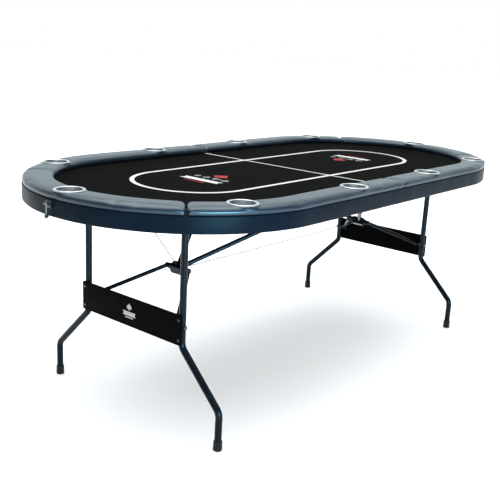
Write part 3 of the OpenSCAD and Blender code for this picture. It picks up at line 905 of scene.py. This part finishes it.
class CARDTABLE_OT_felt(bpy.types.Operator):
    """Stretch the two felts over their decks and print the betting line, fold line and suit emblems"""

    bl_idname = "card_table.felt"
    bl_label = "Felt and Print"

    def execute(self, context):
        felt = settings()[1]
        cloth = slab("near_felt_cloth", felt_grid(), FELT_SKIN, math.radians(30))
        for half, piece in halves(cloth):
            dress(piece, "felt", f"{half}_half")
            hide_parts(f"{half}_felt")
        line = slab("near_betting_line", line_grid(felt), thickness=0.00018)
        half_line = felt.centre_line_w / 2
        visible = HALF_W - settings()[0].width + 0.002
        fold_rows = [(-half_line, 0.0), (-FOLD_LIP, 0.0), (-EDGE - 0.0004, 0.0007)]
        fold_line = slab("near_fold_line", [
            [(x, -visible + 2 * visible * k / 8, FELT_TOP + 0.00012 - drop) for k in range(9)]
            for x, drop in fold_rows
        ], thickness=0.0001)
        parts = [(line, "white_ink"), (fold_line, "white_ink")]
        row = [moved(pip(kind), -0.063 + 0.042 * k, 0.010, 0.018) for k, kind in enumerate(EMBLEM_ROW)]
        origin = (-felt.emblem_x, 0, FELT_TOP)
        designs = {
            "emblem_crest": (
                [moved(pip("spade"), 0, 0.064, 0.030), moved(ribbon(0.090, 0.007, 0), 0, -0.074)], "red_ink",
            ),
            "emblem_suits": (row, "grey_ink"),
            "emblem_ribbon": ([moved(ribbon(0.172, 0.030, 0.012), 0, -0.040)], "white_ink"),
        }
        for name, (outlines, ink) in designs.items():
            parts.append((prints(f"near_{name}", outlines, origin, (0, -1, 0), (1, 0, 0)), ink))
        for near, ink in parts:
            for half, piece in halves(near):
                dress(piece, "felt", f"{half}_half", ink)
        return {"FINISHED"}


# ---- Legs ----


def rounded_board(name, low, high, corner, edge):
    """A flat board in the YZ plane with rounded corners and eased edges."""
    shape = bmesh.new()
    bmesh.ops.create_cube(shape, size=1)
    size = high - low
    bmesh.ops.scale(shape, vec=size, verts=shape.verts)
    bmesh.ops.translate(shape, vec=(low + high) / 2, verts=shape.verts)
    along_x = [e for e in shape.edges if abs(e.verts[0].co.x - e.verts[1].co.x) > size.x / 2]
    bmesh.ops.bevel(shape, geom=along_x, offset=corner, segments=6, affect="EDGES", profile=0.5)
    rim = [e for e in shape.edges if len(e.link_faces) == 2 and e.calc_face_angle(0) > math.radians(60)]
    bmesh.ops.bevel(shape, geom=rim, offset=edge, segments=3, affect="EDGES", profile=0.5)
    piece = piece_of(name, shape)
    tidy_mesh(piece, math.radians(35))
    return piece


def pan_head(name, place, radius, height):
    """A pan-head screw with a cross recess, its head raised towards -X from its place."""
    rings = [
        (0.0, 1.0), (0.14, 1.0), (0.26, 0.99), (0.38, 0.97), (0.52, 0.92), (0.7, 0.8), (0.86, 0.58),
        (0.97, 0.28), (1.0, 0.0),
    ]
    steps = 48
    points = []
    for share, up in rings:
        for k in range(steps):
            turn = 2 * math.pi * k / steps
            y, z = share * radius * math.cos(turn), share * radius * math.sin(turn)
            in_cross = min(abs(y), abs(z)) < 0.13 * radius and share < 0.5
            rise = up * height - (0.55 * height if in_cross else 0.0)
            points.append((-rise, y, z))
    faces = band_faces(len(rings), steps) + [range((len(rings) - 1) * steps, len(rings) * steps)]
    piece = mesh_piece(name, points, faces, math.radians(30))
    piece.data.transform(Matrix.Translation(Vector(place)))
    return piece


class CARDTABLE_OT_panels(bpy.types.Operator):
    """Make the leg panels with eased edges, their cross-head screws and the suit print on the outer face"""

    bl_idname = "card_table.panels"
    bl_label = "Leg Panels"

    def execute(self, context):
        board = rounded_board("near_panel_board", PANEL_LOW, PANEL_HIGH, corner=0.005, edge=0.0012)
        middle = (PANEL_LOW + PANEL_HIGH) / 2
        mark = [
            moved(pip("spade"), 0, 0.017, 0.0115),
            moved(ribbon(0.060, 0.014, 0.005), 0, -0.007),
            moved(ribbon(0.036, 0.0035, 0), 0, -0.0195),
        ]
        badge = prints("near_panel_badge", mark, (PANEL_LOW.x, 0, middle.z), (0, -1, 0), (0, 0, 1))
        for half, piece in halves(board):
            dress(piece, "panel_board", f"{half}_leg")
            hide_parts(f"{half}_panel")
        for half, piece in halves(badge):
            dress(piece, "panel_board", f"{half}_leg", "white_ink")
        rows = (SCREW_LOW.y + SCREW_HEAD_R, SCREW_HIGH.y - SCREW_HEAD_R)
        levels = (SCREW_LOW.z + SCREW_HEAD_R, SCREW_HIGH.z - SCREW_HEAD_R)
        for number, (y, z) in enumerate(((y, z) for y in rows for z in levels), 1):
            place = (PANEL_LOW.x, y, z)
            near = pan_head(f"near_panel_screw_{number}", place, SCREW_HEAD_R * 0.94, height=0.0022)
            for half, piece in halves(near):
                dress(piece, "zinc", f"{half}_leg")
                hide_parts(f"{half}_panel_screws")
        return {"FINISHED"}


class CARDTABLE_OT_feet(bpy.types.Operator):
    """Mould the ribbed rubber caps on the four feet"""

    bl_idname = "card_table.feet"
    bl_label = "Rubber Feet"

    def execute(self, context):
        radius = (CAPS_HIGH.x - CAPS_LOW.x) / 2
        top = CAPS_HIGH.z
        x = (CAPS_LOW.x + CAPS_HIGH.x) / 2
        bore_r = 0.0111
        profile = [(0, 0.0004), (radius * 0.45, 0.0004), (radius * 0.5, 0), (radius - 0.002, 0)]
        profile += [(radius - 0.0006, 0.0006), (radius, 0.002), (radius, 0.0075)]
        for k in range(3):
            z = 0.0085 + 0.0045 * k
            groove, rib = radius - 0.0011, radius - 0.0002
            profile += [(groove, z), (groove, z + 0.0014), (rib, z + 0.0022), (rib, z + 0.0034)]
        profile += [(radius - 0.0006, top - 0.004), (radius - 0.0012, top - 0.001), (radius - 0.0019, top)]
        profile += [(bore_r + 0.0004, top), (bore_r, top - 0.0008), (bore_r, 0.0062), (0, 0.0062)]
        for end, y in (("front", CAPS_LOW.y + radius), ("back", CAPS_HIGH.y - radius)):
            near = lathed(f"near_{end}_foot_cap", profile, (x, y, 0), sharp=math.radians(32))
            for half, piece in halves(near):
                dress(piece, "rubber", f"{half}_leg")
                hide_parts(f"{half}_foot_caps")
        return {"FINISHED"}


# ---- Shock cords ----


def cord_run(name, start, end, radius):
    """A taut cord between two points in the plane Y = 0."""
    start, end = Vector(start), Vector(end)
    count, sides = 48, 12
    side = Vector((0, 1, 0))
    up = (end - start).normalized().cross(side).normalized()
    turns = [2 * math.pi * k / sides for k in range(sides)]
    return swept(name, [
        [start.lerp(end, i / count) + radius * (math.cos(t) * side + math.sin(t) * up) for t in turns]
        for i in range(count + 1)
    ])


class CARDTABLE_OT_cords(bpy.types.Operator):
    """String the shock cords between the two brace hubs and from each hub to the leg frame's pivot"""

    bl_idname = "card_table.cords"
    bl_label = "Shock Cords"

    def execute(self, context):
        radius = settings()[2].cord_r
        hub_low, hub_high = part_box("near_hub_cord")
        start_x, z = hub_low.x, (hub_low.z + hub_high.z) / 2
        tie_x, in_block, rise = -0.07, 0.0145, 0.001
        near_run = cord_run("near_hub_cord_run", (start_x - in_block, 0, z + rise), (tie_x, 0, z), radius)
        middle = cord_run("centre_hub_cord_run", (tie_x, 0, z), (-tie_x, 0, z), radius)
        release_low, release_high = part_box("near_release_cord")
        low_end = (release_high.x + 0.006, 0, release_low.z - 0.004)
        high_end = (release_low.x, 0, release_high.z - 0.0015)
        release = cord_run("near_release_cord_run", low_end, high_end, radius)
        collar = hub_collar("near_hub_cord_collar", (start_x - 0.0035, 0, z + 0.0006))
        twins = zip(halves(near_run), halves(release), halves(collar), (1, -1))
        for (half, run), (_, back), (_, ring), sign in twins:
            for piece in (run, back):
                piece.data.materials.append(finish_of("cord"))
            dress(ring, "latch_steel", f"{half}_upper_arms")
            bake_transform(run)
            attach(back, f"{half}_half")
            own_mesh(back)
            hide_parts(f"{half}_hub_cord")
            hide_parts(f"{half}_release_cord")
        middle.data.materials.append(finish_of("cord"))
        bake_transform(middle)
        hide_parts("near_hub_cord", "far_hub_cord")
        return {"FINISHED"}


def hub_collar(name, place):
    """A short crimped steel ferrule that ties the cord to the brace hub."""
    profile = [(0, -0.008), (0.0026, -0.008), (0.0034, -0.0072), (0.0034, -0.004), (0.0028, -0.003)]
    profile += [(0.0028, 0.003), (0.0034, 0.004), (0.0034, 0.0072), (0.0026, 0.008), (0, 0.008)]
    return lathed(name, profile, place, 32, axis="X", sharp=math.radians(30))


# ---- Latch ----


class CARDTABLE_OT_latch(bpy.types.Operator):
    """Turn the latch knob: a ball on a short neck"""

    bl_idname = "card_table.latch"
    bl_label = "Latch Knob"

    def execute(self, context):
        centre = (KNOB_LOW + KNOB_HIGH) / 2
        radius = (KNOB_HIGH.x - KNOB_LOW.x) / 2
        profile = [(0, -radius)]
        for k in range(1, 15):
            turn = math.radians(-90 + 10 * k)
            profile.append((radius * math.cos(turn), radius * math.sin(turn)))
        neck = radius * 0.52
        tip = radius * 1.34
        profile += [(neck, radius * 0.92), (neck, radius * 1.25), (neck * 0.86, tip), (0, tip)]
        knob = lathed("latch_ball", profile, centre, 48, sharp=math.radians(35))
        dress(knob, "knob", "latch")
        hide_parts("latch_knob")
        return {"FINISHED"}


# ---- Carried-over metalwork and boards ----

NODE_SLOTS = {
    "board": ["deck", "rail_base", "fold_batten"],
    "enamel": [
        "leg_brackets", "front_leg_tube", "back_leg_tube", "cross_tube", "upper_brace", "lower_arms",
        "brace_anchors",
    ],
    "zinc": ["bracket_screws", "hinge_leaves", "brace_bolts", "hub_bolts"],
}


class CARDTABLE_OT_hardware(bpy.types.Operator):
    """Finish the boards, tubes, brackets, hinges and bolts that come from the frame"""

    bl_idname = "card_table.hardware"
    bl_label = "Frame Finishes"

    def execute(self, context):
        slots = {
            f"{half}_{node}": slot
            for slot, nodes in NODE_SLOTS.items() for node in nodes for half in (NEAR, FAR)
        }
        slots.update(hinge_pins="zinc", latch_base="zinc", latch_bar="latch_steel", latch_catch="latch_steel")
        for name, slot in slots.items():
            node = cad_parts[name]
            for place in node.material_slots:
                place.material = finish_of(slot)
        return {"FINISHED"}


# ---- Studio ----


def soft_light(name, place, aim, size, power, colour):
    data = bpy.data.lights.new(name, "AREA")
    data.shape = "RECTANGLE"
    data.size, data.size_y = size
    data.energy = power
    data.color = colour
    light = placed(name, data)
    light.location = place
    light.rotation_euler = (Vector(aim) - Vector(place)).to_track_quat("-Z", "Y").to_euler()
    return light


class CARDTABLE_OT_stage(bpy.types.Operator):
    """Set up the camera, the pale floor, the white surroundings and the soft lights"""

    bl_idname = "card_table.stage"
    bl_label = "Studio"

    def execute(self, context):
        scene = context.scene
        studio = settings()[3]
        level = Vector((math.sin(studio.yaw), -math.cos(studio.yaw), 0))
        ahead = Vector((
            math.cos(studio.yaw) * math.cos(studio.pitch), math.sin(studio.yaw) * math.cos(studio.pitch),
            -math.sin(studio.pitch),
        ))
        above = level.cross(ahead)
        right = math.cos(studio.roll) * level + math.sin(studio.roll) * above
        top = math.cos(studio.roll) * above - math.sin(studio.roll) * level
        data = bpy.data.cameras.new("studio_camera")
        data.lens = studio.lens
        data.clip_end = 100
        camera = placed("studio_camera", data)
        camera.matrix_world = Matrix((right, top, -ahead)).transposed().to_4x4()
        camera.location = studio.place
        scene.camera = camera

        reach = studio.floor_reach
        square = [[(x, y, 0.0) for y in (-reach, reach)] for x in (-reach, reach)]
        floor = slab("studio_floor", square, thickness=0.02)
        floor.data.materials.append(finish_of("floor"))

        scene.world = surroundings(ahead)
        scene.view_settings.view_transform = "Standard"
        soft_light(
            "overhead_softbox", (-0.3, 0.2, 3.2), aim=(0, 0, 0.7), size=(3.4, 2.4), power=60,
            colour=(0.96, 0.985, 1.0),
        )
        sky = placed("soft_sky", bpy.data.lights.new("soft_sky", "SUN"))
        sky.data.energy, sky.data.angle, sky.data.color = 2.6, math.radians(85), (0.97, 0.99, 1.0)
        cool = soft_light(
            "cool_softbox", (-1.9, -3.1, 0.55), aim=(-0.85, -0.4, 0.6), size=(1.5, 0.9), power=190,
            colour=(0.34, 0.74, 1.0),
        )
        skirts = [bpy.data.objects[f"{half}_skirt_wrap"] for half in (NEAR, FAR)]
        tubes = [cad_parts[f"{half}_{node}"] for half in (NEAR, FAR) for node in NODE_SLOTS["enamel"]]
        places = ("end", "front", "back")
        pads = [bpy.data.objects[f"{half}_{place}_pad_cover"] for half in (NEAR, FAR) for place in places]
        light_only(cool, skirts + tubes + pads)
        wash = placed("floor_wash", bpy.data.lights.new("floor_wash", "SUN"))
        wash.data.energy, wash.data.use_shadow = 1.5, False
        light_only(wash, [floor])
        return {"FINISHED"}


def light_only(light, pieces):
    """Restricts a light to some pieces."""
    lit = bpy.data.collections.new(f"lit_by_{light.name}")
    for piece in pieces:
        lit.objects.link(piece)
    light.light_linking.receiver_collection = lit


def surroundings(ahead):
    """A studio that is bright behind the table and dim behind the camera, with a white background."""
    world = bpy.data.worlds.new("studio_surroundings")
    world.use_nodes = True
    nodes, links = world.node_tree.nodes, world.node_tree.links
    place = nodes.new("ShaderNodeTexCoord")
    towards = nodes.new("ShaderNodeVectorMath")
    towards.operation = "DOT_PRODUCT"
    towards.inputs[1].default_value = Vector((ahead.x, ahead.y, 0)).normalized()
    brightness = nodes.new("ShaderNodeMapRange")
    brightness.interpolation_type = "SMOOTHSTEP"
    brightness.inputs["From Min"].default_value = -0.1
    brightness.inputs["From Max"].default_value = 0.8
    brightness.inputs["To Min"].default_value = 0.15
    brightness.inputs["To Max"].default_value = 1.15
    links.new(place.outputs["Generated"], towards.inputs[0])
    links.new(towards.outputs["Value"], brightness.inputs["Value"])
    lit = nodes["Background"]
    lit.inputs["Color"].default_value = (0.86, 0.97, 1.0, 1)
    links.new(brightness.outputs["Result"], lit.inputs["Strength"])
    seen = nodes.new("ShaderNodeBackground")
    seen.inputs["Color"].default_value = (1, 1, 1, 1)
    choice = nodes.new("ShaderNodeMixShader")
    links.new(nodes.new("ShaderNodeLightPath").outputs["Is Camera Ray"], choice.inputs[0])
    links.new(lit.outputs["Background"], choice.inputs[1])
    links.new(seen.outputs["Background"], choice.inputs[2])
    links.new(choice.outputs["Shader"], nodes["World Output"].inputs["Surface"])
    return world


# ---- Add-on ----

STEPS = (
    CARDTABLE_OT_cords, CARDTABLE_OT_pads, CARDTABLE_OT_skirt, CARDTABLE_OT_cups, CARDTABLE_OT_felt,
    CARDTABLE_OT_panels, CARDTABLE_OT_feet, CARDTABLE_OT_latch, CARDTABLE_OT_hardware, CARDTABLE_OT_stage,
)


class CARDTABLE_PT_sidebar(bpy.types.Panel):
    """Card table sizes, colours and building steps"""

    bl_idname = "CARDTABLE_PT_sidebar"
    bl_label = "Card Table"
    bl_space_type = "VIEW_3D"
    bl_region_type = "UI"
    bl_category = "Card Table"

    def draw(self, context):
        for group in settings():
            box = self.layout.box()
            for name in group.bl_rna.properties.keys():
                if name not in ("rna_type", "name"):
                    box.prop(group, name)
        for step in STEPS:
            self.layout.operator(step.bl_idname)


GROUPS = {
    "ct_rail": RailSettings, "ct_felt": FeltSettings, "ct_hardware": HardwareSettings,
    "ct_studio": StudioSettings,
}
CLASSES = (*GROUPS.values(), *STEPS, CARDTABLE_PT_sidebar)


def register():
    for kind in CLASSES:
        bpy.utils.register_class(kind)
    for name, group in GROUPS.items():
        setattr(bpy.types.Scene, name, PointerProperty(type=group))


def unregister():
    for name in GROUPS:
        delattr(bpy.types.Scene, name)
    for kind in reversed(CLASSES):
        bpy.utils.unregister_class(kind)


def main():
    register()
    bpy.ops.card_table.cords()
    bpy.ops.card_table.pads()
    bpy.ops.card_table.skirt()
    bpy.ops.card_table.cups()
    bpy.ops.card_table.felt()
    bpy.ops.card_table.panels()
    bpy.ops.card_table.feet()
    bpy.ops.card_table.latch()
    bpy.ops.card_table.hardware()
    bpy.ops.card_table.stage()


if __name__ == "__main__":
    main()
